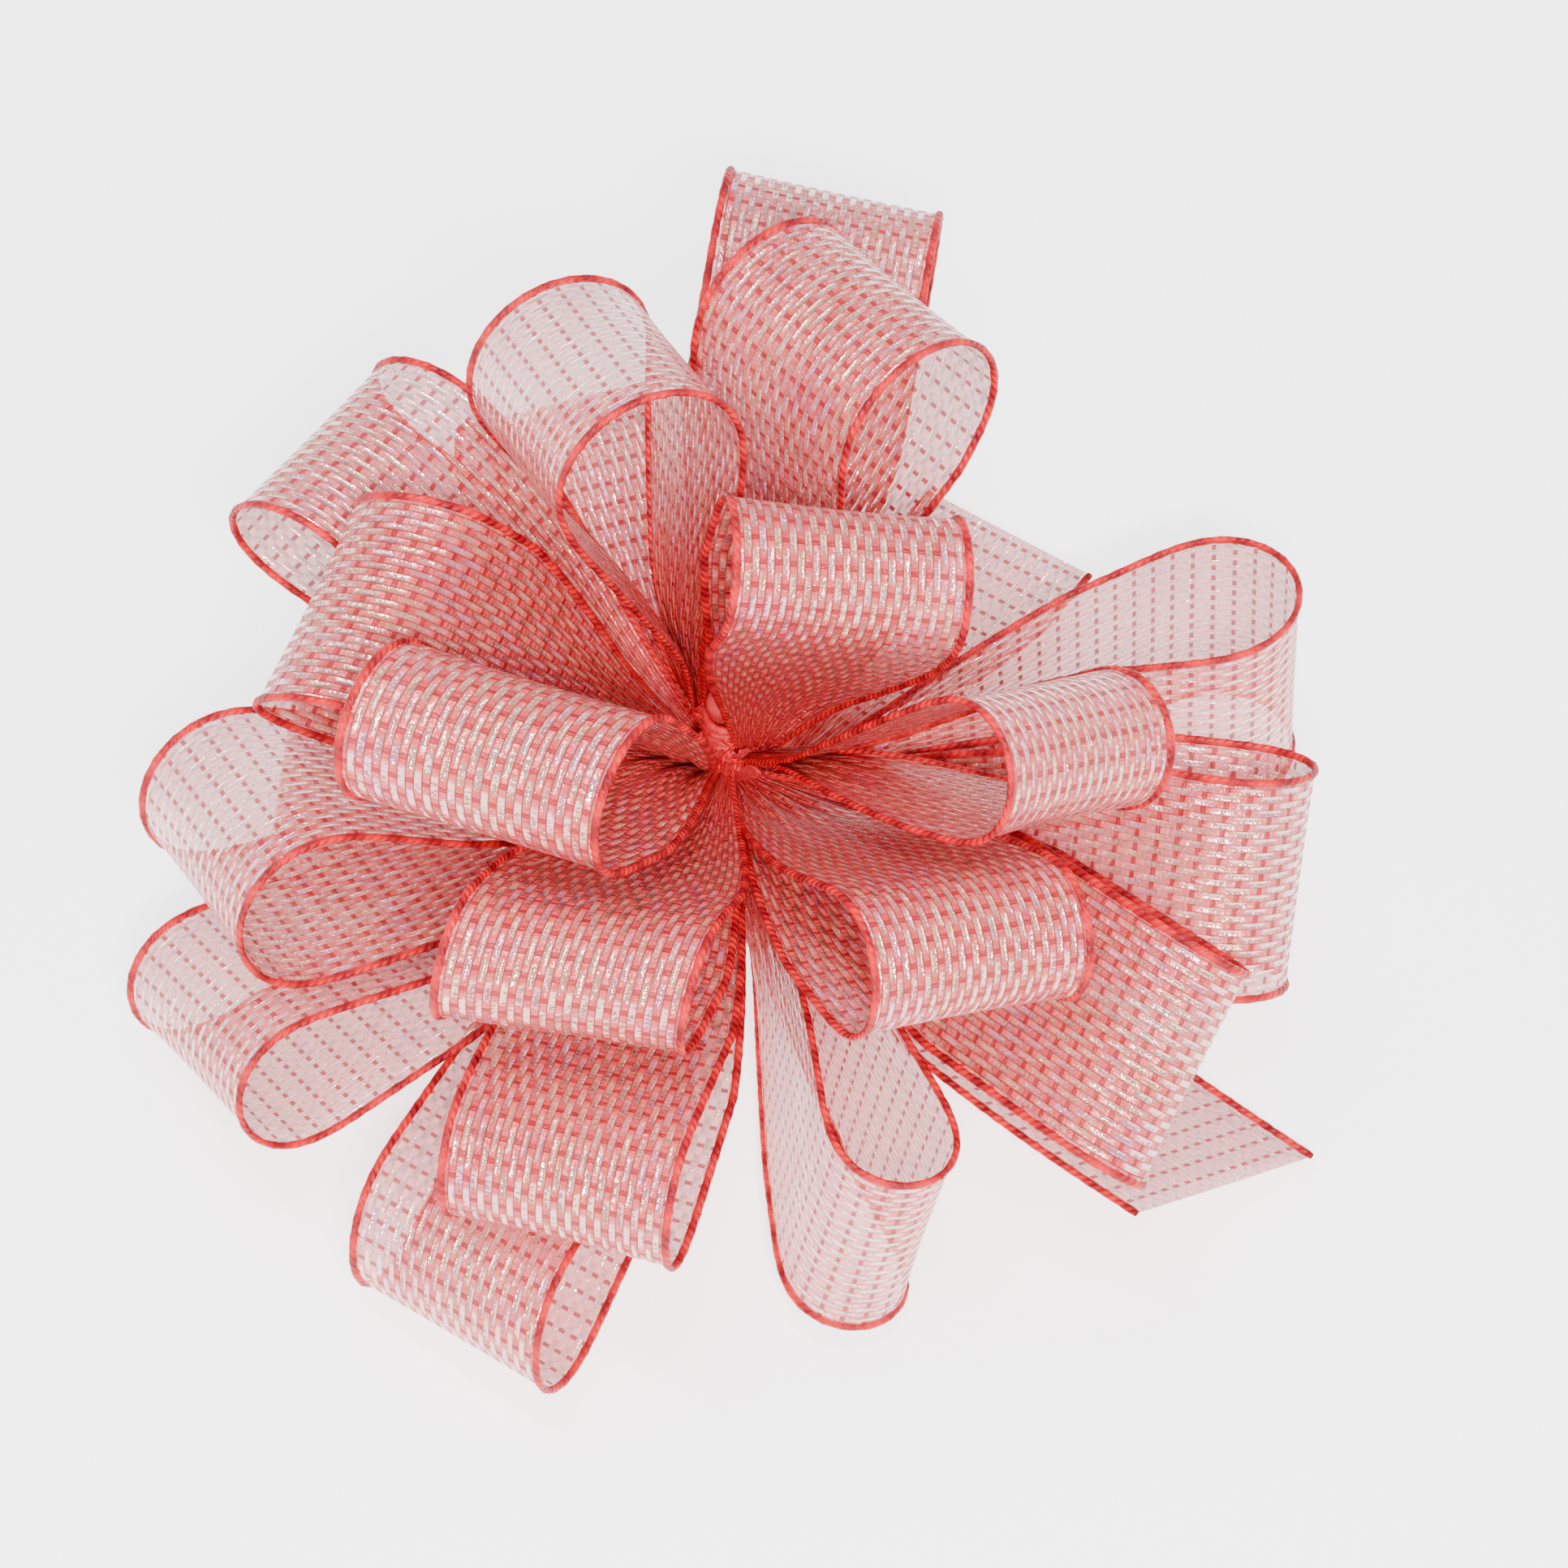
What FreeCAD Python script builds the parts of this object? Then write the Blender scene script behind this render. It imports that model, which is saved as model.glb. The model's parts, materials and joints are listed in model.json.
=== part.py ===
"""A pre-made gift bow of sheer woven ribbon.

One ribbon is pinched at even steps and the pinches are threaded on two narrow draw
ribbons.  Pulled up, they stack on one another along +Z, and the ribbon between them
stands out in loops all round.  The two draw ribbons are knotted above and below the
stack, and the lower knot is glued to a card disc with a self-adhesive foam pad.

Millimetres, +Z up along the stack.  The origin is the middle of the face that sticks
to the present.
"""
import FreeCAD, Part
import math
import os
from collections import namedtuple

Vector = FreeCAD.Vector

# ribbon
RIBBON_WIDTH = 25.0
RIBBON_WALL = 0.35
NECK_WIDTH = 4.4
NECK_THICKNESS = 1.3

# pinches
PINCH_PITCH = 1.2
PINCH_THICKNESS = 0.8
PINCH_RADIUS = 2.8
PINCH_CLEARANCE = 0.3
LEG_START = 4.8

# draw ribbons and knots
DRAW_WIDTH = 2.0
DRAW_THICKNESS = 0.5
DRAW_GAP = 0.1
KNOT_RADIUS = 2.2
KNOT_HEIGHT = 2.4
LOWER_KNOT_HEIGHT = 1.6

# what it stands on
LINER_THICKNESS = 0.2
LINER_TAB_WIDTH = 6.0
LINER_TAB_LENGTH = 3.0
PAD_RADIUS = 13.0
PAD_THICKNESS = 1.2
CARD_RADIUS = 14.0
CARD_THICKNESS = 0.8
GLUE_WALL = 1.8

# how far out the gathers reach before the ribbon has its full width
GATHER_LENGTH = 38.0

# how far the two legs of a loop run side by side before they part
NECK_LENGTH = 12.0

# Each loop, from the bottom of the stack up:
# azimuth and elevation of its middle line, its reach from the pinch, how far its two
# legs stand apart at the tip, and how its width is rolled about the middle line and
# skewed along it.  Degrees and millimetres.
Loop = namedtuple("Loop", "name azimuth elevation reach opening roll skew")
Tail = namedtuple("Tail", "name azimuth elevation reach roll skew")

RIBBON = [
    Tail("tail_front", -41, 3, 69, -24, 16),
    Tail("tail_back", 50, 2, 48, -12, 0),
    Loop("loop_front_low_left", -114, 5, 70, 18, 8, 12),
    Loop("loop_left_back_low", 176, 5, 48, 16, -8, 0),
    Loop("loop_front_low_right", -74, 8, 61, 15, 76, 0),
    Loop("loop_right_back", 14, 6, 64, 20, 78, 6),
    Loop("loop_back_low", 112, 5, 52, 18, 8, 0),
    Loop("loop_left_low", -147, 6, 67, 17, 20, -2),
    Loop("loop_right", -18, 12, 64, 18, 48, 3),
    Loop("loop_left", -156, 24, 64, 20, 18, 0),
    Loop("loop_back", 79, 22, 67, 20, 4, 2),
    Loop("loop_front_middle", -105, 14, 66, 16, 4, 4),
    Loop("loop_front_right", -45, 14, 68, 14, 32, -6),
    Loop("loop_left_back", 154, 35, 57, 18, -4, 9),
    Loop("loop_front_upper_right", -60, 33, 60, 16, -18, 0),
    Loop("loop_left_upper", -170, 48, 57, 17, -28, 16),
    Loop("loop_front_upper", -108, 32, 58, 15, 0, -14),
    Loop("loop_right_upper", -34, 42, 57, 16, -36, -6),
    Loop("loop_front_left_upper", -127, 52, 60, 18, 12, -24),
    Loop("loop_back_upper", 56, 66, 57, 22, -18, 0),
    Loop("loop_top_right", -44, 75, 56, 15, -42, -8),
    Loop("loop_top_left", 145, 77, 57, 22, 62, 8),
]

CARD_BOTTOM = LINER_THICKNESS + PAD_THICKNESS
CARD_TOP = CARD_BOTTOM + CARD_THICKNESS
DRAW_BOTTOM = CARD_TOP + LOWER_KNOT_HEIGHT
PINCH_GAP = PINCH_PITCH - PINCH_THICKNESS
FIRST_PINCH = DRAW_BOTTOM + PINCH_GAP + PINCH_THICKNESS / 2
DRAW_TOP = FIRST_PINCH + PINCH_PITCH * (len(RIBBON) - 1) + PINCH_THICKNESS / 2 + PINCH_GAP
DRAW_STACK = 2 * DRAW_THICKNESS + DRAW_GAP
EYE_RADIUS = math.hypot(DRAW_WIDTH, DRAW_STACK) / 2 + PINCH_CLEARANCE


def save(shape, node):
    """Write one node, and say what it holds."""
    if not shape.isValid() or len(shape.Solids) != 1:
        raise ValueError(node + " is not one valid solid")
    shape.exportStep("parts/" + node + ".step")
    box = shape.BoundBox
    print("%-24s %7.1f mm3  z %6.2f to %6.2f" % (node, shape.Volume, box.ZMin, box.ZMax))


def disc(radius, low, high):
    """An upright cylinder about the stack's axis."""
    return Part.makeCylinder(radius, high - low, Vector(0, 0, low))


def upright(azimuth, level):
    """The frame of a pinch: X outwards along its azimuth, Z up, at the pinch's middle."""
    turn = FreeCAD.Rotation(Vector(0, 0, 1), azimuth)
    return FreeCAD.Placement(Vector(0, 0, FIRST_PINCH + PINCH_PITCH * level), turn)


def leaning(item):
    """The frame of a loop's middle line, within its pinch's frame: X out, Y across."""
    lift = FreeCAD.Rotation(Vector(0, 1, 0), -item.elevation)
    roll = FreeCAD.Rotation(Vector(1, 0, 0), item.roll)
    return FreeCAD.Placement(Vector(LEG_START, 0, 0), lift.multiply(roll))


def pinch():
    """The gathered ribbon round the draw ribbons, with the tab that the legs leave by."""
    half = PINCH_THICKNESS / 2
    tab = Part.makeBox(LEG_START + NECK_THICKNESS / 2, NECK_WIDTH, PINCH_THICKNESS,
                       Vector(0, -NECK_WIDTH / 2, -half))
    return disc(PINCH_RADIUS, -half, half).fuse(tab).cut(disc(EYE_RADIUS, -half, half))


def teardrop(reach, half_height, tip_radius, start):
    """A closed outline in XZ: two straight legs from the neck, tangent to a round tip."""
    centre = reach - tip_radius
    spread = math.asin((tip_radius - half_height) / (centre - NECK_LENGTH))
    touch = Vector(centre - tip_radius * math.sin(spread), 0, tip_radius * math.cos(spread))
    mirror = Vector(touch.x, 0, -touch.z)
    upper, lower = Vector(start, 0, half_height), Vector(start, 0, -half_height)
    upper_part, lower_part = (Vector(NECK_LENGTH, 0, z) for z in (half_height, -half_height))
    return Part.Wire([
        Part.LineSegment(lower, lower_part).toShape(),
        Part.LineSegment(lower_part, mirror).toShape(),
        Part.Arc(mirror, Vector(reach, 0, 0), touch).toShape(),
        Part.LineSegment(touch, upper_part).toShape(),
        Part.LineSegment(upper_part, upper).toShape(),
        Part.LineSegment(upper, lower).toShape(),
    ])


def plan(item, reach, depth):
    """The ribbon seen flat: narrow at the neck, full width past the gathers."""
    shear = math.tan(math.radians(item.skew))
    half = RIBBON_WIDTH / 2
    neck = NECK_WIDTH / 2
    far = reach + half
    outline = [(0, -neck), (GATHER_LENGTH - half * shear, -half), (far, -half),
               (far, half), (GATHER_LENGTH + half * shear, half), (0, neck)]
    corners = [Vector(x, y, -depth) for x, y in outline + outline[:1]]
    return Part.Face(Part.makePolygon(corners)).extrude(Vector(0, 0, 2 * depth))


def swept_across(face, item):
    """A face in XZ, drawn out to the ribbon's width along its skewed tip line."""
    shear = math.tan(math.radians(item.skew))
    across = Vector(RIBBON_WIDTH * shear, RIBBON_WIDTH, 0)
    face.translate(across * -0.5)
    return face.extrude(across)


def loop(item, level):
    """One loop with its pinch."""
    radius = item.opening / 2
    neck = NECK_THICKNESS / 2
    outer = teardrop(item.reach, neck, radius, -RIBBON_WIDTH / 2)
    inner = teardrop(item.reach - RIBBON_WALL, neck - RIBBON_WALL, radius - RIBBON_WALL,
                     NECK_THICKNESS)
    band = swept_across(Part.Face(outer).cut(Part.Face(inner)), item)
    legs = band.common(plan(item, item.reach, item.opening))
    legs.Placement = leaning(item)
    shape = pinch().fuse(legs).removeSplitter()
    shape.Placement = upright(item.azimuth, level)
    return shape


def tail(item, level):
    """A cut end of the ribbon with its pinch."""
    neck = NECK_THICKNESS / 2
    strip = Part.makeBox(item.reach, 2 * RIBBON_WIDTH, 2 * neck,
                         Vector(0, -RIBBON_WIDTH, -neck))
    legs = strip.common(plan(item, item.reach, neck))
    legs.Placement = leaning(item)
    shape = pinch().fuse(legs).removeSplitter()
    shape.Placement = upright(item.azimuth, level)
    return shape


def draw_ribbon(side):
    """One of the two narrow ribbons that the pinches are threaded on."""
    middle = side * (DRAW_THICKNESS + DRAW_GAP) / 2
    return Part.makeBox(DRAW_WIDTH, DRAW_THICKNESS, DRAW_TOP - DRAW_BOTTOM,
                        Vector(-DRAW_WIDTH / 2, middle - DRAW_THICKNESS / 2, DRAW_BOTTOM))


def knot(low, height):
    """A pulled-down knot: a short barrel with rounded ends."""
    barrel = disc(KNOT_RADIUS, low, low + height)
    return barrel.makeFillet(0.35 * height, [barrel.Edges[0], barrel.Edges[2]])


def release_liner():
    """The slip of coated paper over the adhesive, with a tab to peel it by."""
    tab = Part.makeBox(CARD_RADIUS + LINER_TAB_LENGTH, LINER_TAB_WIDTH, LINER_THICKNESS,
                       Vector(0, -LINER_TAB_WIDTH / 2, 0))
    return disc(PAD_RADIUS, 0, LINER_THICKNESS).fuse(tab).removeSplitter()


def glue_spot():
    """The ring of hot-melt glue that holds the lower knot on the card."""
    outside = Part.makeCone(KNOT_RADIUS + 2 * GLUE_WALL, KNOT_RADIUS + GLUE_WALL,
                            LOWER_KNOT_HEIGHT - PINCH_CLEARANCE, Vector(0, 0, CARD_TOP))
    return outside.cut(disc(KNOT_RADIUS, CARD_TOP, DRAW_BOTTOM))


def main():
    os.makedirs("parts", exist_ok=True)
    for level, item in enumerate(RIBBON):
        make = loop if isinstance(item, Loop) else tail
        save(make(item, level), item.name)
    save(draw_ribbon(-1), "draw_ribbon_front")
    save(draw_ribbon(1), "draw_ribbon_back")
    save(knot(DRAW_TOP, KNOT_HEIGHT), "upper_knot")
    save(knot(CARD_TOP, LOWER_KNOT_HEIGHT), "lower_knot")
    save(glue_spot(), "glue_spot")
    save(disc(CARD_RADIUS, CARD_BOTTOM, CARD_TOP), "base_card")
    save(disc(PAD_RADIUS, LINER_THICKNESS, CARD_BOTTOM), "foam_pad")
    save(release_liner(), "release_liner")


main()
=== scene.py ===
"""A pre-made gift bow of sheer woven ribbon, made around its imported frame.

Laid out as an add-on and run as a script: each operator makes one kind of piece, in
metres and in the frame's own place.
"""

import json
import math
from collections import namedtuple

import bpy
from mathutils import Matrix, Vector


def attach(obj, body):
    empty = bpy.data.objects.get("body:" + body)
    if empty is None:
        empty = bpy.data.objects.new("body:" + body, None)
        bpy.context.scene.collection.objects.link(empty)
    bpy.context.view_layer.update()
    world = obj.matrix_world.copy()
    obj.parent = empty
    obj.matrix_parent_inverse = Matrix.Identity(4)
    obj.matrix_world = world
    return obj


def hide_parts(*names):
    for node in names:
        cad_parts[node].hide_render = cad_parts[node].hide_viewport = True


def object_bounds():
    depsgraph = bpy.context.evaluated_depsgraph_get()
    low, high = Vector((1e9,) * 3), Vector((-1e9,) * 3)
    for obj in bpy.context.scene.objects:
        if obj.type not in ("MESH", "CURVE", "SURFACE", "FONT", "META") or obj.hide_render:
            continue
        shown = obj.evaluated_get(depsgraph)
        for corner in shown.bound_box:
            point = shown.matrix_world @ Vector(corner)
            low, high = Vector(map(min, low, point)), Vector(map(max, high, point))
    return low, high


bl_info = {
    "name": "Gift bow",
    "version": (1, 0, 0),
    "blender": (4, 5, 0),
    "location": "3D View > Sidebar > Gift Bow",
    "description": "Makes a pre-made gift bow of sheer woven ribbon round its frame",
    "category": "Object",
}

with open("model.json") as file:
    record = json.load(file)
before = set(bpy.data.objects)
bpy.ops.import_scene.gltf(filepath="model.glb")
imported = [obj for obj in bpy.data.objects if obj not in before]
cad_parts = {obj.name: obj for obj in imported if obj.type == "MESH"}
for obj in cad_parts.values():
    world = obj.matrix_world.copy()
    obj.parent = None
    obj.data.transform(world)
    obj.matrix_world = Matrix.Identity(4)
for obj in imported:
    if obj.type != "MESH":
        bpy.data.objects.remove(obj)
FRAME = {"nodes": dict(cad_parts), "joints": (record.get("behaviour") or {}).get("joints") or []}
CAD_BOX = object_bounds()
MM = 0.001

# Each loop and cut end, in the order of its pinch: azimuth, elevation, reach, opening
# at the tip, roll and skew, in degrees and millimetres.
Ribbon = namedtuple("Ribbon", "name azimuth elevation reach opening roll skew")
RIBBONS = [
    Ribbon("tail_front", -41, 3, 69, 0, -24, 16),
    Ribbon("tail_back", 50, 2, 48, 0, -12, 0),
    Ribbon("loop_front_low_left", -114, 5, 70, 18, 8, 12),
    Ribbon("loop_left_back_low", 176, 5, 48, 16, -8, 0),
    Ribbon("loop_front_low_right", -74, 8, 61, 15, 76, 0),
    Ribbon("loop_right_back", 14, 6, 64, 20, 78, 6),
    Ribbon("loop_back_low", 112, 5, 52, 18, 8, 0),
    Ribbon("loop_left_low", -147, 6, 67, 17, 20, -2),
    Ribbon("loop_right", -18, 12, 64, 18, 48, 3),
    Ribbon("loop_left", -156, 24, 64, 20, 18, 0),
    Ribbon("loop_back", 79, 22, 67, 20, 4, 2),
    Ribbon("loop_front_middle", -105, 14, 66, 16, 4, 4),
    Ribbon("loop_front_right", -45, 14, 68, 14, 32, -6),
    Ribbon("loop_left_back", 154, 35, 57, 18, -4, 9),
    Ribbon("loop_front_upper_right", -60, 33, 60, 16, -18, 0),
    Ribbon("loop_left_upper", -170, 48, 57, 17, -28, 16),
    Ribbon("loop_front_upper", -108, 32, 58, 15, 0, -14),
    Ribbon("loop_right_upper", -34, 42, 57, 16, -36, -6),
    Ribbon("loop_front_left_upper", -127, 52, 60, 18, 12, -24),
    Ribbon("loop_back_upper", 56, 66, 57, 22, -18, 0),
    Ribbon("loop_top_right", -44, 75, 56, 15, -42, -8),
    Ribbon("loop_top_left", 145, 77, 57, 22, 62, 8),
]

# the wall and the gathered part of every ribbon, in millimetres
WALL_HALF = 0.175
NECK_WIDTH = 4.4
NECK_HALF = 0.48
LEG_START = 4.8
NECK_LENGTH = 12.0
GATHER_LENGTH = 38.0
EYE_EDGE = 1.7
PLEATS = 4

# faces round a tip, a corded edge and an eyelet
TIP_STEPS = 48
CORD_SIDES = 8
CORD_TURN = 0.004
EYELET_STEPS = 36
EYELET_SIDES = 8


class BowRibbonSettings(bpy.types.PropertyGroup):
    """The ribbon that the loops are made of."""
    width: bpy.props.FloatProperty(
        name="Width", description="Width of the flat ribbon over its selvedges",
        default=0.025, unit="LENGTH")
    step: bpy.props.FloatProperty(
        name="Mesh step", description="Length of one row of faces along the ribbon",
        default=0.0011, unit="LENGTH")
    columns: bpy.props.IntProperty(
        name="Columns", description="Faces across the ribbon", default=28, min=8)
    selvedge: bpy.props.FloatProperty(
        name="Selvedge radius", description="Radius of the corded edge",
        default=0.00046, unit="LENGTH")
    strip_pitch: bpy.props.FloatProperty(
        name="Strip pitch", description="Spacing of the film strips across the ribbon",
        default=0.00081, unit="LENGTH")
    row_pitch: bpy.props.FloatProperty(
        name="Row pitch", description="Spacing of the cross threads along the ribbon",
        default=0.0025, unit="LENGTH")
    thread: bpy.props.FloatVectorProperty(
        name="Thread", description="Colour of the coral threads", subtype="COLOR",
        default=(0.40, 0.001, 0.012), size=3, min=0, max=1)
    ground: bpy.props.FloatVectorProperty(
        name="Ground", description="Colour of the sheer ground between the strips",
        subtype="COLOR", default=(0.78, 0.014, 0.020), size=3, min=0, max=1)
    film: bpy.props.FloatVectorProperty(
        name="Film", description="Colour of the pearl film strips", subtype="COLOR",
        default=(0.96, 0.22, 0.22), size=3, min=0, max=1)
    core: bpy.props.FloatVectorProperty(
        name="Gathers", description="Colour where the ribbon is gathered", subtype="COLOR",
        default=(0.60, 0.0, 0.010), size=3, min=0, max=1)


class BowBaseSettings(bpy.types.PropertyGroup):
    """The card, pad and draw ribbons under and inside the loops."""
    card: bpy.props.FloatVectorProperty(
        name="Card", description="Colour of the card disc", subtype="COLOR",
        default=(0.80, 0.77, 0.70), size=3, min=0, max=1)
    foam: bpy.props.FloatVectorProperty(
        name="Foam", description="Colour of the foam pad", subtype="COLOR",
        default=(0.86, 0.86, 0.84), size=3, min=0, max=1)
    liner: bpy.props.FloatVectorProperty(
        name="Liner", description="Colour of the release paper", subtype="COLOR",
        default=(0.88, 0.86, 0.78), size=3, min=0, max=1)
    draw: bpy.props.FloatVectorProperty(
        name="Draw ribbon", description="Colour of the two draw ribbons", subtype="COLOR",
        default=(0.60, 0.03, 0.035), size=3, min=0, max=1)


class BowStageSettings(bpy.types.PropertyGroup):
    """The floor, the lights and the camera."""
    elevation: bpy.props.FloatProperty(
        name="Camera elevation", description="How far above the floor the camera looks from",
        default=math.radians(58), subtype="ANGLE")
    distance: bpy.props.FloatProperty(
        name="Camera distance", description="From the camera to the bow",
        default=0.56, unit="LENGTH")
    lens: bpy.props.FloatProperty(
        name="Lens", description="Focal length in millimetres", default=111.6, min=10)
    floor: bpy.props.FloatVectorProperty(
        name="Floor", description="Colour of the floor", subtype="COLOR",
        default=(0.92, 0.92, 0.92), size=3, min=0, max=1)
    glow: bpy.props.FloatProperty(
        name="Floor glow",
        description="How far the floor is lit from below, as on a light table",
        default=2.0, min=0)


# shader nodes

def new_material(name):
    """An empty node material with a Principled shader, and its tree."""
    material = bpy.data.materials.new(name)
    material.use_nodes = True
    tree = material.node_tree
    return material, tree, tree.nodes["Principled BSDF"]


def link(tree, source, target):
    """Joins two sockets."""
    tree.links.new(source, target)


def math_node(tree, operation, first, second=None, third=None):
    """A Math node fed by sockets or numbers."""
    node = tree.nodes.new("ShaderNodeMath")
    node.operation = operation
    for socket, value in zip(node.inputs, (first, second, third)):
        if value is None:
            continue
        if isinstance(value, (int, float)):
            socket.default_value = value
        else:
            link(tree, value, socket)
    return node.outputs[0]


def mix_colour(tree, amount, first, second, blend="MIX"):
    """A colour Mix node fed by sockets or colours."""
    node = tree.nodes.new("ShaderNodeMix")
    node.data_type = "RGBA"
    node.blend_type = blend
    pairs = ((node.inputs["Factor"], amount), (node.inputs[6], first), (node.inputs[7], second))
    for socket, value in pairs:
        if isinstance(value, bpy.types.NodeSocket):
            link(tree, value, socket)
        elif isinstance(value, (int, float)):
            socket.default_value = value
        else:
            socket.default_value = (*value[:3], 1)
    return node.outputs[2]


def noise(tree, vector, scale, detail=2.0, output="Fac"):
    """A Noise texture on the given coordinates."""
    node = tree.nodes.new("ShaderNodeTexNoise")
    node.inputs["Scale"].default_value = scale
    node.inputs["Detail"].default_value = detail
    link(tree, vector, node.inputs["Vector"])
    return node.outputs[output]


def weave_group(ribbon):
    """Film strips along the ribbon, passing over and under threads across it.

    Takes the ribbon's own coordinates in metres.  Puts out the masks of the film where
    it floats on top, the dashes of cross thread and the lines between the strips, a
    random value for each float, and a height.
    """
    group = bpy.data.node_groups.new("Pearl weave", "ShaderNodeTree")
    face = group.interface
    face.new_socket("Across", in_out="INPUT", socket_type="NodeSocketFloat")
    face.new_socket("Along", in_out="INPUT", socket_type="NodeSocketFloat")
    for name in ("Float", "Dash", "Line", "Cell", "Height"):
        face.new_socket(name, in_out="OUTPUT", socket_type="NodeSocketFloat")
    inside = group.nodes.new("NodeGroupInput")
    outside = group.nodes.new("NodeGroupOutput")

    def m(operation, *values):
        return math_node(group, operation, *values)

    def clamped(value):
        return m("MINIMUM", m("MAXIMUM", value, 0.0), 1.0)

    across = m("DIVIDE", inside.outputs["Across"], ribbon.strip_pitch)
    along = m("DIVIDE", inside.outputs["Along"], ribbon.row_pitch)
    column = m("FLOOR", across)
    in_column = m("SUBTRACT", m("FRACT", across), 0.5)
    from_column = m("ABSOLUTE", in_column)
    # a strip is up on one cross thread and down on the next, its neighbour the other way
    phase = m("ADD", along, column)
    wave = m("COSINE", m("MULTIPLY", phase, math.pi))
    floating = clamped(m("ADD", m("MULTIPLY", wave, 1.7), 0.55))
    line = clamped(m("MULTIPLY", m("SUBTRACT", from_column, 0.40), 16.0))
    from_thread = m("ABSOLUTE", m("SUBTRACT", m("FRACT", m("ADD", along, 0.5)), 0.5))
    dash = clamped(m("MULTIPLY", m("SUBTRACT", 0.13, from_thread), 26.0))
    dash = m("MULTIPLY", dash, m("SUBTRACT", 1.0, floating))
    cell = group.nodes.new("ShaderNodeTexWhiteNoise")
    cell.noise_dimensions = "2D"
    place = group.nodes.new("ShaderNodeCombineXYZ")
    link(group, column, place.inputs["X"])
    link(group, m("FLOOR", m("ADD", m("MULTIPLY", phase, 0.5), 0.5)), place.inputs["Y"])
    link(group, place.outputs[0], cell.inputs["Vector"])
    split = group.nodes.new("ShaderNodeSeparateColor")
    link(group, cell.outputs["Color"], split.inputs["Color"])
    # every float is a little bow, tilted its own way
    ridge = m("SUBTRACT", 1.0, m("MULTIPLY", m("MULTIPLY", in_column, in_column), 2.4))
    tilt = m("MULTIPLY", m("SUBTRACT", split.outputs["Red"], 0.5), in_column)
    swing = m("SINE", m("MULTIPLY", phase, math.pi))
    lean = m("MULTIPLY", m("SUBTRACT", split.outputs["Green"], 0.5), swing)
    height = m("MULTIPLY", m("ADD", 0.5, m("MULTIPLY", wave, 0.5)), ridge)
    height = m("ADD", height, m("ADD", m("MULTIPLY", tilt, 0.8), m("MULTIPLY", lean, 1.2)))
    height = m("ADD", height, m("MULTIPLY", dash, 0.8))
    height = m("SUBTRACT", height, m("MULTIPLY", line, 0.25))
    link(group, floating, outside.inputs["Float"])
    link(group, dash, outside.inputs["Dash"])
    link(group, line, outside.inputs["Line"])
    link(group, split.outputs["Blue"], outside.inputs["Cell"])
    link(group, height, outside.inputs["Height"])
    return group


def ribbon_coordinates(tree):
    """The ribbon's own across and along distances, and its gather mask."""
    uv = tree.nodes.new("ShaderNodeUVMap")
    uv.uv_map = "Ribbon"
    split = tree.nodes.new("ShaderNodeSeparateXYZ")
    link(tree, uv.outputs[0], split.inputs[0])
    gather = tree.nodes.new("ShaderNodeAttribute")
    gather.attribute_name = "gather"
    return uv.outputs[0], split.outputs["X"], split.outputs["Y"], gather.outputs["Fac"]


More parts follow.
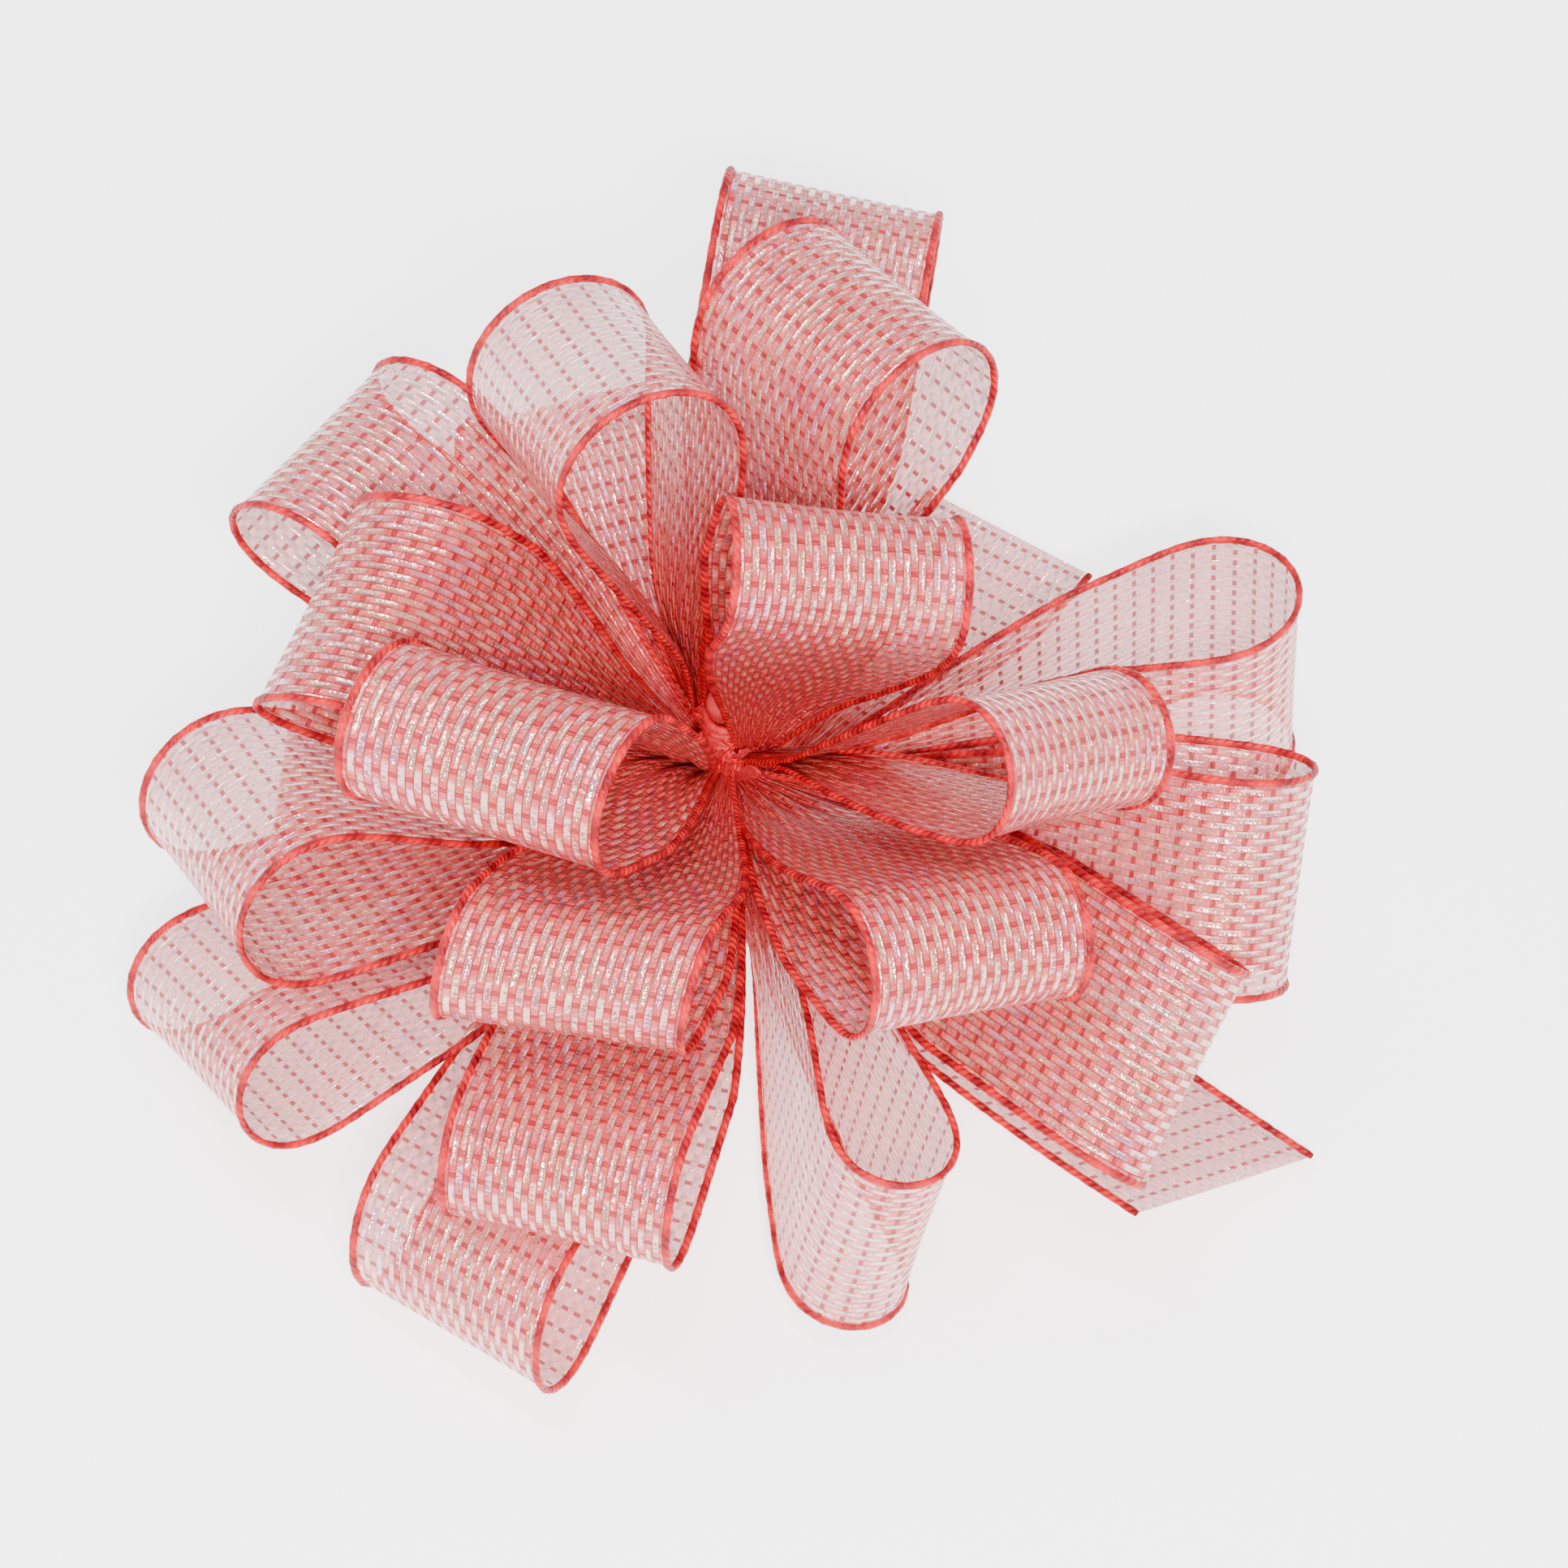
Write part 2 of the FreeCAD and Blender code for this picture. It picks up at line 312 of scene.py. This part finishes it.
def weave_material(ribbon):
    """Sheer coral cloth with floats of pearl film that glint in pale colours."""
    material, tree, shader = new_material("Pearl weave ribbon")
    uv, across, along, gather = ribbon_coordinates(tree)
    weave = tree.nodes.new("ShaderNodeGroup")
    weave.node_tree = weave_group(ribbon)
    link(tree, across, weave.inputs["Across"])
    link(tree, along, weave.inputs["Along"])
    floating, dash, line = (weave.outputs[name] for name in ("Float", "Dash", "Line"))

    def m(operation, *values):
        return math_node(tree, operation, *values)

    tint = tree.nodes.new("ShaderNodeValToRGB")
    ramp = tint.color_ramp
    colours = [(0.30, (0.62, 0.93, 0.80)), (0.42, (0.98, 0.90, 0.55)),
               (0.50, (0.97, 0.62, 0.50)), (0.58, (0.98, 0.66, 0.72)),
               (0.70, (0.70, 0.66, 0.98))]
    ramp.elements[0].position, ramp.elements[1].position = colours[0][0], colours[-1][0]
    ramp.elements[0].color, ramp.elements[1].color = (*colours[0][1], 1), (*colours[-1][1], 1)
    for place, colour in colours[1:-1]:
        ramp.elements.new(place).color = (*colour, 1)
    drift = noise(tree, uv, 110.0)
    shade = m("ADD", drift, m("MULTIPLY", m("SUBTRACT", weave.outputs["Cell"], 0.5), 0.22))
    link(tree, shade, tint.inputs["Fac"])
    tinted = m("ADD", 0.12, m("MULTIPLY", floating, 0.36))
    pearl = mix_colour(tree, tinted, ribbon.film, tint.outputs["Color"])
    ground = mix_colour(tree, line, ribbon.ground, ribbon.thread)
    film_seen = m("MULTIPLY", m("ADD", 0.24, m("MULTIPLY", floating, 0.52)),
                  m("SUBTRACT", 1.0, m("MULTIPLY", line, 0.8)))
    colour = mix_colour(tree, film_seen, ground, pearl)
    colour = mix_colour(tree, dash, colour, ribbon.thread)
    redder = m("MULTIPLY", m("POWER", gather, 0.60), 0.97)
    colour = mix_colour(tree, redder, colour, ribbon.core)
    link(tree, colour, shader.inputs["Base Color"])

    opacity = m("ADD", 0.68, m("MULTIPLY", film_seen, 0.24))
    opacity = m("MAXIMUM", opacity, m("MULTIPLY", dash, 0.95))
    opacity = m("MINIMUM", m("ADD", opacity, m("MULTIPLY", redder, 0.5)), 1.0)
    link(tree, opacity, shader.inputs["Alpha"])
    gloss = m("MULTIPLY", film_seen, m("SUBTRACT", 1.0, m("MULTIPLY", dash, 0.9)))
    gloss = m("MULTIPLY", gloss, m("SUBTRACT", 1.0, m("MULTIPLY", gather, 0.75)))
    link(tree, m("SUBTRACT", 0.58, m("MULTIPLY", gloss, 0.50)), shader.inputs["Roughness"])
    link(tree, m("MULTIPLY", gloss, 0.75), shader.inputs["Metallic"])
    link(tree, m("MULTIPLY", gloss, 0.9), shader.inputs["Coat Weight"])
    shader.inputs["Coat Roughness"].default_value = 0.09
    shader.inputs["Coat IOR"].default_value = 2.4
    crinkle = noise(tree, uv, 1900.0, 1.0)
    height = m("ADD", weave.outputs["Height"], m("MULTIPLY", crinkle, 0.60))
    bump = tree.nodes.new("ShaderNodeBump")
    bump.inputs["Distance"].default_value = 0.00045
    bump.inputs["Strength"].default_value = 0.8
    link(tree, height, bump.inputs["Height"])
    link(tree, bump.outputs[0], shader.inputs["Normal"])
    link(tree, bump.outputs[0], shader.inputs["Coat Normal"])
    return material


def selvedge_material(ribbon):
    """Twisted coral cord: light and dark lengths by turns, with fine plies."""
    material, tree, shader = new_material("Selvedge cord")
    uv, around, along, gather = ribbon_coordinates(tree)

    def m(operation, *values):
        return math_node(tree, operation, *values)

    turns = m("SINE", m("MULTIPLY", along, 2 * math.pi / 0.0052))
    blotch = noise(tree, uv, 260.0)
    light = m("ADD", m("ADD", 0.5, m("MULTIPLY", turns, 0.38)), m("SUBTRACT", blotch, 0.5))
    light = m("MINIMUM", m("MAXIMUM", light, 0.0), 1.0)
    colour = mix_colour(tree, light, (0.20, 0.0, 0.006), (0.66, 0.003, 0.012))
    link(tree, mix_colour(tree, gather, colour, ribbon.core), shader.inputs["Base Color"])
    ply = m("SINE", m("ADD", m("MULTIPLY", along, 2 * math.pi / 0.0011),
                      m("MULTIPLY", around, 2 * math.pi * 2 / CORD_TURN)))
    bump = tree.nodes.new("ShaderNodeBump")
    bump.inputs["Distance"].default_value = 0.00012
    bump.inputs["Strength"].default_value = 0.6
    link(tree, ply, bump.inputs["Height"])
    link(tree, bump.outputs[0], shader.inputs["Normal"])
    shader.inputs["Roughness"].default_value = 0.5
    shader.inputs["Specular IOR Level"].default_value = 0.25
    return material


def plain_material(name, colour, roughness, grain, depth):
    """A quiet fibrous or cellular finish in Object coordinates."""
    material, tree, shader = new_material(name)
    place = tree.nodes.new("ShaderNodeTexCoord").outputs["Object"]
    mottle = noise(tree, place, grain)
    darker = tuple(0.82 * c for c in colour)
    link(tree, mix_colour(tree, mottle, darker, colour), shader.inputs["Base Color"])
    rough = math_node(tree, "ADD", roughness - 0.06, math_node(tree, "MULTIPLY", mottle, 0.12))
    link(tree, rough, shader.inputs["Roughness"])
    bump = tree.nodes.new("ShaderNodeBump")
    bump.inputs["Distance"].default_value = depth
    bump.inputs["Strength"].default_value = 0.5
    link(tree, noise(tree, place, grain * 4), bump.inputs["Height"])
    link(tree, bump.outputs[0], shader.inputs["Normal"])
    return material


# ribbon shapes

def rotation(item, roll):
    """From a ribbon's own axes (out, across, open) to the frame's."""
    return (Matrix.Rotation(math.radians(item.azimuth), 3, "Z")
            @ Matrix.Rotation(math.radians(-item.elevation), 3, "Y")
            @ Matrix.Rotation(roll, 3, "X"))


def resample(points, step):
    """Evenly spaced points along a path of (x, z) pairs."""
    lengths = [0.0]
    for a, b in zip(points, points[1:]):
        lengths.append(lengths[-1] + math.dist(a, b))
    count = max(8, round(lengths[-1] / step))
    out, i = [], 0
    for k in range(count + 1):
        want = lengths[-1] * k / count
        while i < len(points) - 2 and lengths[i + 1] < want:
            i += 1
        share = (want - lengths[i]) / max(lengths[i + 1] - lengths[i], 1e-9)
        share = min(max(share, 0.0), 1.0)
        out.append(tuple(p + (q - p) * share for p, q in zip(points[i], points[i + 1])))
    return out


def smoothed(points, reach, rounds):
    """The path with its corners eased, its two ends kept."""
    for _ in range(rounds):
        last = points
        for i in range(1, len(points) - 1):
            span = min(reach, i, len(points) - 1 - i)
            near = last[i - span:i + span + 1]
            mean = tuple(sum(c) / len(near) for c in zip(*near))
            points = points[:i] + [mean] + points[i + 1:]
    return points


def loop_path(item, step):
    """The middle line of a loop in its own (out, open) plane, in millimetres."""
    radius = item.opening / 2 - WALL_HALF
    centre = item.reach - WALL_HALF - radius
    spread = math.asin((radius - NECK_HALF) / (centre - NECK_LENGTH))
    inner = -(LEG_START - EYE_EDGE)
    start = [(inner, NECK_HALF / 2), (0.0, NECK_HALF), (NECK_LENGTH, NECK_HALF)]
    sweep = math.pi / 2 + spread
    half_way = TIP_STEPS / 2
    arc = [(centre + radius * math.cos(sweep * (1 - t / half_way)),
            radius * math.sin(sweep * (1 - t / half_way))) for t in range(TIP_STEPS + 1)]
    back = [(x, -z) for x, z in reversed(start)]
    return smoothed(resample(start + arc + back, step), 3, 2)


def tail_path(item, step):
    """The middle line of a cut end, which curls a little."""
    inner = -(LEG_START - EYE_EDGE)
    points = [(inner, 0.0)]
    for k in range(25):
        out = item.reach * k / 24
        points.append((out, 0.5 * math.sin(math.pi * k / 12)))
    return resample(points, step)


def width_share(out):
    """From 0 at the pinch to 1 where the ribbon is flat."""
    share = min(max(out / GATHER_LENGTH, 0.0), 1.0)
    return 0.55 * share + 0.45 * math.sin(math.pi / 2 * share)


class Cloth:
    """Vertices, faces, ribbon coordinates and gather mask of one piece of ribbon."""

    def __init__(self):
        self.points, self.faces, self.places, self.gathers, self.slots = [], [], [], [], []

    def grid(self, rows, slot):
        """Faces over rows of (point, across, along, gather)."""
        base, wide = len(self.points), len(rows[0])
        for row in rows:
            for point, across, along, gather in row:
                self.points.append(point)
                self.places.append((across, along))
                self.gathers.append(gather)
        for r in range(len(rows) - 1):
            for c in range(wide - 1):
                a = base + r * wide + c
                self.faces.append((a, a + 1, a + wide + 1, a + wide))
                self.slots.append(slot)

    def build(self, name, materials):
        """The finished object."""
        mesh = bpy.data.meshes.new(name)
        mesh.from_pydata([p[:] for p in self.points], [], self.faces)
        for material in materials:
            mesh.materials.append(material)
        mesh.polygons.foreach_set("material_index", self.slots)
        mesh.polygons.foreach_set("use_smooth", [True] * len(self.faces))
        uv = mesh.uv_layers.new(name="Ribbon")
        flat = [c for loop in mesh.loops for c in self.places[loop.vertex_index]]
        uv.data.foreach_set("uv", flat)
        gather = mesh.attributes.new("gather", "FLOAT", "POINT")
        gather.data.foreach_set("value", self.gathers)
        mesh.update()
        obj = bpy.data.objects.new(name, mesh)
        bpy.context.scene.collection.objects.link(obj)
        return obj


def ribbon_rows(item, path, level, ribbon):
    """Rows of points across the ribbon, with their ribbon coordinates."""
    pinch = FIRST_PINCH + PINCH_PITCH * level
    roll = math.radians(item.roll)
    shear = math.tan(math.radians(item.skew))
    turn = rotation(item, roll)
    level_turn = Matrix.Rotation(math.radians(item.azimuth), 3, "Z")
    root = level_turn @ Vector((LEG_START * MM, 0, 0)) + Vector((0, 0, pinch))
    half = ribbon.width / MM / 2
    phase = level * 2.4
    rows, along = [], 0.0
    for i, (out, rise) in enumerate(path):
        if i:
            along += math.dist(path[i - 1], path[i]) * MM
        a, b = path[max(i - 1, 0)], path[min(i + 1, len(path) - 1)]
        run = math.dist(a, b) or 1.0
        normal = Vector((-(b[1] - a[1]) / run, 0, (b[0] - a[0]) / run))
        share = width_share(out)
        spread = NECK_WIDTH / 2 + (half - NECK_WIDTH / 2) * share
        gather = (1 - share) ** 1.6
        row = []
        for c in range(ribbon.columns + 1):
            t = 2 * c / ribbon.columns - 1
            y = t * spread
            pleat = math.cos(math.pi * PLEATS * t + phase)
            depth = 0.30 + 0.55 * share * (1 - share) * 2
            wave = 0.12 * share * math.sin(along / MM / 9.0 + phase + 1.5 * t)
            cup = 0.20 * share * (t * t - 0.4)
            lift = pleat * depth * (1 - share) ** 1.2 + wave + cup
            local = Vector((out + y * shear * share, y, rise)) + normal * lift
            if out >= 0:
                point = root + turn @ (local * MM)
            else:
                level_local = Vector((LEG_START + out, y * 0.9, rise * 0.6 + pleat * 0.12))
                flat_share = -out / (LEG_START - EYE_EDGE)
                leaning = root + turn @ (Vector((out, y, rise)) * MM)
                upright = level_turn @ (level_local * MM) + Vector((0, 0, pinch))
                point = leaning.lerp(upright, min(1.0, 2.0 * flat_share))
            row.append((point, c / ribbon.columns * ribbon.width, along, gather))
        rows.append(row)
    return rows


def selvedge_rows(rows, side, radius):
    """A corded edge along one side of the ribbon: rows round a tube."""
    column = 0 if side < 0 else len(rows[0]) - 1
    inward = 1 if side < 0 else -1
    out = []
    for i, row in enumerate(rows):
        point, _, along, gather = row[column]
        ahead = rows[min(i + 1, len(rows) - 1)][column][0]
        behind = rows[max(i - 1, 0)][column][0]
        run = (ahead - behind).normalized()
        across = (row[column + inward][0] - point).normalized()
        up = run.cross(across).normalized()
        across = up.cross(run)
        thick = radius * (1 + 0.10 * math.sin(2 * math.pi * along / 0.0026))
        thick *= 1 - 0.45 * gather
        ring = []
        for k in range(CORD_SIDES + 1):
            angle = 2 * math.pi * k / CORD_SIDES
            place = point + (across * math.cos(angle) + up * math.sin(angle) * 0.85) * thick
            ring.append((place, k / CORD_SIDES * CORD_TURN, along, gather))
        out.append(ring)
    return out


def pinch_rows(item, level):
    """The crumpled eyelet of cloth round the draw ribbons."""
    pinch = FIRST_PINCH + PINCH_PITCH * level
    out = []
    for r in range(EYELET_SIDES + 1):
        angle = 2 * math.pi * r / EYELET_SIDES
        row = []
        for k in range(EYELET_STEPS + 1):
            turn = 2 * math.pi * k / EYELET_STEPS
            crease = 0.12 * math.sin(9 * turn + level) + 0.06 * math.sin(17 * turn)
            radius = 2.15 + 0.55 * math.cos(angle) * (1 + crease)
            height = 0.42 * math.sin(angle) * (1 + crease)
            azimuth = turn + math.radians(item.azimuth)
            point = Vector((radius * math.cos(azimuth), radius * math.sin(azimuth), height))
            row.append((point * MM + Vector((0, 0, pinch)), turn * 0.002, angle * 0.001, 1.0))
        out.append(row)
    return out


def hinge_heights():
    """The first pinch's height and the pitch, from the swivel joints."""
    heights = sorted(joint["pos_m"][2] for joint in FRAME["joints"] if "pos_m" in joint)
    return heights[0], (heights[-1] - heights[0]) / (len(heights) - 1)


def make_ribbon(item, level, settings, materials):
    """One loop or cut end, on its own swivelling body, in place of its plain solid."""
    step = settings.step / MM
    is_loop = item.opening > 0
    path = loop_path(item, step) if is_loop else tail_path(item, step)
    rows = ribbon_rows(item, path, level, settings)
    cloth = Cloth()
    cloth.grid(rows, 0)
    for side in (-1, 1):
        cloth.grid(selvedge_rows(rows, side, settings.selvedge), 1)
    cloth.grid(pinch_rows(item, level), 2)
    obj = cloth.build(item.name + "_ribbon", materials)
    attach(obj, item.name)
    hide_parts(item.name)
    return obj


def ribbon_materials(ribbon):
    """The weave, the corded edge and the gathered cloth, made once."""
    if "Pearl weave ribbon" not in bpy.data.materials:
        weave_material(ribbon)
        selvedge_material(ribbon)
        plain_material("Gathered cloth", tuple(ribbon.core), 0.6, 900, 0.0002)
    names = ("Pearl weave ribbon", "Selvedge cord", "Gathered cloth")
    return [bpy.data.materials[name] for name in names]


class OBJECT_OT_bow_loops(bpy.types.Operator):
    """Makes the loops of ribbon, each on its own pinch"""
    bl_idname = "object.bow_loops"
    bl_label = "Loops"

    def execute(self, context):
        ribbon = context.scene.bow_ribbon
        materials = ribbon_materials(ribbon)
        for level, item in enumerate(RIBBONS):
            if item.opening:
                make_ribbon(item, level, ribbon, materials)
        return {"FINISHED"}


class OBJECT_OT_bow_tails(bpy.types.Operator):
    """Makes the two cut ends of the ribbon"""
    bl_idname = "object.bow_tails"
    bl_label = "Cut ends"

    def execute(self, context):
        ribbon = context.scene.bow_ribbon
        materials = ribbon_materials(ribbon)
        for level, item in enumerate(RIBBONS):
            if not item.opening:
                make_ribbon(item, level, ribbon, materials)
        return {"FINISHED"}


def dress(node, material):
    """Gives a frame node its finish."""
    obj = FRAME["nodes"][node]
    obj.data.materials.clear()
    obj.data.materials.append(material)


class OBJECT_OT_bow_base(bpy.types.Operator):
    """Finishes the draw ribbons, knots, glue, card, pad and liner"""
    bl_idname = "object.bow_base"
    bl_label = "Draw ribbons and base"

    def execute(self, context):
        base = context.scene.bow_base
        draw = plain_material("Draw ribbon weave", tuple(base.draw), 0.55, 1500, 0.0001)
        for node in ("draw_ribbon_front", "draw_ribbon_back", "upper_knot", "lower_knot"):
            dress(node, draw)
        glue = plain_material("Hot-melt glue", (0.80, 0.74, 0.58), 0.22, 300, 0.0001)
        dress("glue_spot", glue)
        dress("base_card", plain_material("Lined card", tuple(base.card), 0.7, 700, 0.0001))
        foam = plain_material("Closed-cell foam", tuple(base.foam), 0.85, 2500, 0.0003)
        dress("foam_pad", foam)
        liner = plain_material("Release paper", tuple(base.liner), 0.35, 500, 0.00005)
        dress("release_liner", liner)
        return {"FINISHED"}


def area_light(name, place, size, power, colour=(1, 1, 1), target=(0, 0, 0.035)):
    """A soft rectangular light aimed at the bow."""
    data = bpy.data.lights.new(name, "AREA")
    data.shape = "RECTANGLE"
    data.size, data.size_y = size
    data.energy = power
    data.color = colour
    obj = bpy.data.objects.new(name, data)
    obj.location = place
    aim = Vector(target) - Vector(place)
    obj.rotation_euler = aim.to_track_quat("-Z", "Y").to_euler()
    bpy.context.scene.collection.objects.link(obj)


class OBJECT_OT_bow_stage(bpy.types.Operator):
    """Makes the floor, the soft studio lights and the camera"""
    bl_idname = "object.bow_stage"
    bl_label = "Stage"

    def execute(self, context):
        stage = context.scene.bow_stage
        bpy.ops.object.select_all(action="DESELECT")
        bpy.ops.mesh.primitive_plane_add(size=6, location=(0, 0, CAD_BOX[0][2] - 0.0002))
        floor = context.object
        floor.name = "Floor"
        bpy.ops.object.transform_apply(location=True, rotation=True, scale=True)
        material, tree, shader = new_material("Plain floor")
        shader.inputs["Base Color"].default_value = (*stage.floor, 1)
        shader.inputs["Roughness"].default_value = 0.9
        shader.inputs["Emission Color"].default_value = (1, 1, 1, 1)
        shader.inputs["Emission Strength"].default_value = stage.glow
        floor.data.materials.append(material)
        world = bpy.data.worlds.new("Studio")
        world.use_nodes = True
        background = world.node_tree.nodes["Background"]
        background.inputs["Color"].default_value = (1, 0.99, 0.98, 1)
        background.inputs["Strength"].default_value = 0.24
        context.scene.world = world
        area_light("Key", (0.05, -0.46, 0.62), (0.20, 0.09), 12.0, (1.0, 0.98, 0.94))
        area_light("Upper key", (-0.05, -0.12, 0.80), (0.34, 0.08), 5.0, (0.86, 0.94, 1.0))
        area_light("Top", (-0.10, 0.30, 0.80), (0.70, 0.35), 3.5, (0.86, 0.92, 1.0))
        area_light("Left fill", (-0.70, -0.05, 0.45), (0.4, 0.3), 1.6)
        area_light("Right fill", (0.70, 0.15, 0.40), (0.4, 0.3), 1.6)
        camera = bpy.data.objects.new("Camera", bpy.data.cameras.new("Camera"))
        camera.data.lens = stage.lens
        camera.data.sensor_width = 36
        target = Vector((0.0066, 0, 0.015))
        back = Vector((0, -math.cos(stage.elevation), math.sin(stage.elevation)))
        camera.location = target + back * stage.distance
        camera.rotation_euler = (-back).to_track_quat("-Z", "Y").to_euler()
        context.scene.collection.objects.link(camera)
        context.scene.camera = camera
        return {"FINISHED"}


class VIEW3D_PT_gift_bow(bpy.types.Panel):
    """Lists the bow's pieces"""
    bl_label = "Gift Bow"
    bl_space_type = "VIEW_3D"
    bl_region_type = "UI"
    bl_category = "Gift Bow"

    def draw(self, context):
        column = self.layout.column()
        for operator in (OBJECT_OT_bow_stage, OBJECT_OT_bow_loops, OBJECT_OT_bow_tails,
                         OBJECT_OT_bow_base):
            column.operator(operator.bl_idname)
        for settings in (context.scene.bow_ribbon, context.scene.bow_base,
                         context.scene.bow_stage):
            for name in settings.bl_rna.properties.keys():
                if name not in ("rna_type", "name"):
                    column.prop(settings, name)


CLASSES = (BowRibbonSettings, BowBaseSettings, BowStageSettings, OBJECT_OT_bow_stage,
           OBJECT_OT_bow_loops, OBJECT_OT_bow_tails, OBJECT_OT_bow_base, VIEW3D_PT_gift_bow)
FIRST_PINCH, PINCH_PITCH = hinge_heights()


def register():
    for cls in CLASSES:
        bpy.utils.register_class(cls)
    bpy.types.Scene.bow_ribbon = bpy.props.PointerProperty(type=BowRibbonSettings)
    bpy.types.Scene.bow_base = bpy.props.PointerProperty(type=BowBaseSettings)
    bpy.types.Scene.bow_stage = bpy.props.PointerProperty(type=BowStageSettings)


def unregister():
    del bpy.types.Scene.bow_ribbon
    del bpy.types.Scene.bow_base
    del bpy.types.Scene.bow_stage
    for cls in reversed(CLASSES):
        bpy.utils.unregister_class(cls)


def main():
    register()
    bpy.ops.object.bow_stage()
    bpy.ops.object.bow_loops()
    bpy.ops.object.bow_tails()
    bpy.ops.object.bow_base()


if __name__ == "__main__":
    main()
